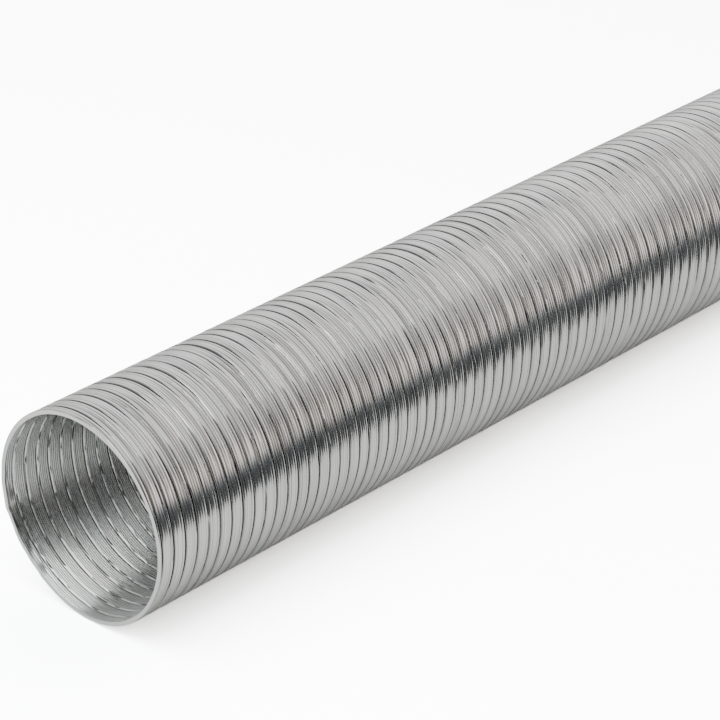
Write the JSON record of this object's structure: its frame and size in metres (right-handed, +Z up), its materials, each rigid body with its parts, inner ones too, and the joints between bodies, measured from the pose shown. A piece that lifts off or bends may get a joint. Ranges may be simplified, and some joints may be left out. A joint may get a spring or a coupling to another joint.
{
  "type": "flexible air duct",
  "caption": "Semi-rigid flexible air duct: a pleated aluminium tube with a helical lock seam, open at both ends, pushed together, that pulls out and bends.",
  "frame": {"origin": "under the middle of the duct's length, on the surface that it lies on", "axes": "+X along the duct's axis, from the front mouth to the rear mouth; +Z up"},
  "size_m": [0.6624, 0.131, 0.131],
  "materials": {
    "aluminium": "bright rolled foil, pleated"
  },
  "bodies": {
    "section_01": {"front_mouth_section": "aluminium"},
    "section_02": {"duct_section_02": "aluminium"},
    "section_03": {"duct_section_03": "aluminium"},
    "section_04": {"duct_section_04": "aluminium"},
    "section_05": {"duct_section_05": "aluminium"},
    "section_06": {"duct_section_06": "aluminium"},
    "section_07": {"duct_section_07": "aluminium"},
    "section_08": {"duct_section_08": "aluminium"},
    "section_09": {"duct_section_09": "aluminium"},
    "section_10": {"duct_section_10": "aluminium"},
    "section_11": {"duct_section_11": "aluminium"},
    "section_12": {"duct_section_12": "aluminium"},
    "section_13": {"duct_section_13": "aluminium"},
    "section_14": {"duct_section_14": "aluminium"},
    "section_15": {"duct_section_15": "aluminium"},
    "section_16": {"duct_section_16": "aluminium"},
    "section_17": {"duct_section_17": "aluminium"},
    "section_18": {"duct_section_18": "aluminium"},
    "section_19": {"duct_section_19": "aluminium"},
    "section_20": {"duct_section_20": "aluminium"},
    "section_21": {"duct_section_21": "aluminium"},
    "section_22": {"duct_section_22": "aluminium"},
    "section_23": {"duct_section_23": "aluminium"},
    "section_24": {"duct_section_24": "aluminium"},
    "section_25": {"duct_section_25": "aluminium"},
    "section_26": {"duct_section_26": "aluminium"},
    "section_27": {"duct_section_27": "aluminium"},
    "section_28": {"duct_section_28": "aluminium"},
    "section_29": {"duct_section_29": "aluminium"},
    "section_30": {"duct_section_30": "aluminium"},
    "section_31": {"duct_section_31": "aluminium"},
    "section_32": {"duct_section_32": "aluminium"},
    "section_33": {"duct_section_33": "aluminium"},
    "section_34": {"duct_section_34": "aluminium"},
    "section_35": {"duct_section_35": "aluminium"},
    "section_36": {"rear_mouth_section": "aluminium"}
  },
  "joints": [
    {"name": "pull_out", "type": "slide", "parent": "section_01", "child": "section_02", "axis": [1, 0, 0], "range_m": [0, 0.0368]},
    {"name": "bend_left", "type": "hinge", "parent": "section_02", "child": "section_03", "pos_m": [-0.2944, 0.06549, 0.06664], "axis": [0, -0.0175, 0.9998], "range_deg": [0, 15]},
    {"name": "pull_out_02", "type": "slide", "parent": "section_03", "child": "section_04", "axis": [1, 0, 0], "range_m": [0, 0.0368]},
    {"name": "bend_up", "type": "hinge", "parent": "section_04", "child": "section_05", "pos_m": [-0.2576, -0.00114, 0.13099], "axis": [0, -0.9998, -0.0175], "range_deg": [0, 15]},
    {"name": "pull_out_03", "type": "slide", "parent": "section_05", "child": "section_06", "axis": [1, 0, 0], "range_m": [0, 0.0368]},
    {"name": "bend_right", "type": "hinge", "parent": "section_06", "child": "section_07", "pos_m": [-0.2208, -0.06549, 0.06664], "axis": [0, -0.0175, -0.9998], "range_deg": [0, 15]},
    {"name": "pull_out_04", "type": "slide", "parent": "section_07", "child": "section_08", "axis": [1, 0, 0], "range_m": [0, 0.0368]},
    {"name": "bend_left_02", "type": "hinge", "parent": "section_08", "child": "section_09", "pos_m": [-0.184, 0.06549, 0.06664], "axis": [0, -0.0175, 0.9998], "range_deg": [0, 15]},
    {"name": "pull_out_05", "type": "slide", "parent": "section_09", "child": "section_10", "axis": [1, 0, 0], "range_m": [0, 0.0368]},
    {"name": "bend_up_02", "type": "hinge", "parent": "section_10", "child": "section_11", "pos_m": [-0.1472, -0.00114, 0.13099], "axis": [0, -0.9998, -0.0175], "range_deg": [0, 15]},
    {"name": "pull_out_06", "type": "slide", "parent": "section_11", "child": "section_12", "axis": [1, 0, 0], "range_m": [0, 0.0368]},
    {"name": "bend_right_02", "type": "hinge", "parent": "section_12", "child": "section_13", "pos_m": [-0.1104, -0.06549, 0.06664], "axis": [0, -0.0175, -0.9998], "range_deg": [0, 15]},
    {"name": "pull_out_07", "type": "slide", "parent": "section_13", "child": "section_14", "axis": [1, 0, 0], "range_m": [0, 0.0368]},
    {"name": "bend_left_03", "type": "hinge", "parent": "section_14", "child": "section_15", "pos_m": [-0.0736, 0.06549, 0.06664], "axis": [0, -0.0175, 0.9998], "range_deg": [0, 15]},
    {"name": "pull_out_08", "type": "slide", "parent": "section_15", "child": "section_16", "axis": [1, 0, 0], "range_m": [0, 0.0368]},
    {"name": "bend_up_03", "type": "hinge", "parent": "section_16", "child": "section_17", "pos_m": [-0.0368, -0.00114, 0.13099], "axis": [0, -0.9998, -0.0175], "range_deg": [0, 15]},
    {"name": "pull_out_09", "type": "slide", "parent": "section_17", "child": "section_18", "axis": [1, 0, 0], "range_m": [0, 0.0368]},
    {"name": "bend_right_03", "type": "hinge", "parent": "section_18", "child": "section_19", "pos_m": [0, -0.06549, 0.06664], "axis": [0, -0.0175, -0.9998], "range_deg": [0, 15]},
    {"name": "pull_out_10", "type": "slide", "parent": "section_19", "child": "section_20", "axis": [1, 0, 0], "range_m": [0, 0.0368]},
    {"name": "bend_left_04", "type": "hinge", "parent": "section_20", "child": "section_21", "pos_m": [0.0368, 0.06549, 0.06664], "axis": [0, -0.0175, 0.9998], "range_deg": [0, 15]},
    {"name": "pull_out_11", "type": "slide", "parent": "section_21", "child": "section_22", "axis": [1, 0, 0], "range_m": [0, 0.0368]},
    {"name": "bend_up_04", "type": "hinge", "parent": "section_22", "child": "section_23", "pos_m": [0.0736, -0.00114, 0.13099], "axis": [0, -0.9998, -0.0175], "range_deg": [0, 15]},
    {"name": "pull_out_12", "type": "slide", "parent": "section_23", "child": "section_24", "axis": [1, 0, 0], "range_m": [0, 0.0368]},
    {"name": "bend_right_04", "type": "hinge", "parent": "section_24", "child": "section_25", "pos_m": [0.1104, -0.06549, 0.06664], "axis": [0, -0.0175, -0.9998], "range_deg": [0, 15]},
    {"name": "pull_out_13", "type": "slide", "parent": "section_25", "child": "section_26", "axis": [1, 0, 0], "range_m": [0, 0.0368]},
    {"name": "bend_left_05", "type": "hinge", "parent": "section_26", "child": "section_27", "pos_m": [0.1472, 0.06549, 0.06664], "axis": [0, -0.0175, 0.9998], "range_deg": [0, 15]},
    {"name": "pull_out_14", "type": "slide", "parent": "section_27", "child": "section_28", "axis": [1, 0, 0], "range_m": [0, 0.0368]},
    {"name": "bend_up_05", "type": "hinge", "parent": "section_28", "child": "section_29", "pos_m": [0.184, -0.00114, 0.13099], "axis": [0, -0.9998, -0.0175], "range_deg": [0, 15]},
    {"name": "pull_out_15", "type": "slide", "parent": "section_29", "child": "section_30", "axis": [1, 0, 0], "range_m": [0, 0.0368]},
    {"name": "bend_right_05", "type": "hinge", "parent": "section_30", "child": "section_31", "pos_m": [0.2208, -0.06549, 0.06664], "axis": [0, -0.0175, -0.9998], "range_deg": [0, 15]},
    {"name": "pull_out_16", "type": "slide", "parent": "section_31", "child": "section_32", "axis": [1, 0, 0], "range_m": [0, 0.0368]},
    {"name": "bend_left_06", "type": "hinge", "parent": "section_32", "child": "section_33", "pos_m": [0.2576, 0.06549, 0.06664], "axis": [0, -0.0175, 0.9998], "range_deg": [0, 15]},
    {"name": "pull_out_17", "type": "slide", "parent": "section_33", "child": "section_34", "axis": [1, 0, 0], "range_m": [0, 0.0368]},
    {"name": "bend_up_06", "type": "hinge", "parent": "section_34", "child": "section_35", "pos_m": [0.2944, -0.00114, 0.13099], "axis": [0, -0.9998, -0.0175], "range_deg": [0, 15]},
    {"name": "pull_out_18", "type": "slide", "parent": "section_35", "child": "section_36", "axis": [1, 0, 0], "range_m": [0, 0.0368]}
  ],
  "couplings": [
    {"joint": "pull_out_02", "follows": "pull_out", "ratio": 1},
    {"joint": "pull_out_03", "follows": "pull_out", "ratio": 1},
    {"joint": "pull_out_04", "follows": "pull_out", "ratio": 1},
    {"joint": "bend_left_02", "follows": "bend_left", "ratio": 1},
    {"joint": "pull_out_05", "follows": "pull_out", "ratio": 1},
    {"joint": "bend_up_02", "follows": "bend_up", "ratio": 1},
    {"joint": "pull_out_06", "follows": "pull_out", "ratio": 1},
    {"joint": "bend_right_02", "follows": "bend_right", "ratio": 1},
    {"joint": "pull_out_07", "follows": "pull_out", "ratio": 1},
    {"joint": "bend_left_03", "follows": "bend_left", "ratio": 1},
    {"joint": "pull_out_08", "follows": "pull_out", "ratio": 1},
    {"joint": "bend_up_03", "follows": "bend_up", "ratio": 1},
    {"joint": "pull_out_09", "follows": "pull_out", "ratio": 1},
    {"joint": "bend_right_03", "follows": "bend_right", "ratio": 1},
    {"joint": "pull_out_10", "follows": "pull_out", "ratio": 1},
    {"joint": "bend_left_04", "follows": "bend_left", "ratio": 1},
    {"joint": "pull_out_11", "follows": "pull_out", "ratio": 1},
    {"joint": "bend_up_04", "follows": "bend_up", "ratio": 1},
    {"joint": "pull_out_12", "follows": "pull_out", "ratio": 1},
    {"joint": "bend_right_04", "follows": "bend_right", "ratio": 1},
    {"joint": "pull_out_13", "follows": "pull_out", "ratio": 1},
    {"joint": "bend_left_05", "follows": "bend_left", "ratio": 1},
    {"joint": "pull_out_14", "follows": "pull_out", "ratio": 1},
    {"joint": "bend_up_05", "follows": "bend_up", "ratio": 1},
    {"joint": "pull_out_15", "follows": "pull_out", "ratio": 1},
    {"joint": "bend_right_05", "follows": "bend_right", "ratio": 1},
    {"joint": "pull_out_16", "follows": "pull_out", "ratio": 1},
    {"joint": "bend_left_06", "follows": "bend_left", "ratio": 1},
    {"joint": "pull_out_17", "follows": "pull_out", "ratio": 1},
    {"joint": "bend_up_06", "follows": "bend_up", "ratio": 1},
    {"joint": "pull_out_18", "follows": "pull_out", "ratio": 1}
  ]
}
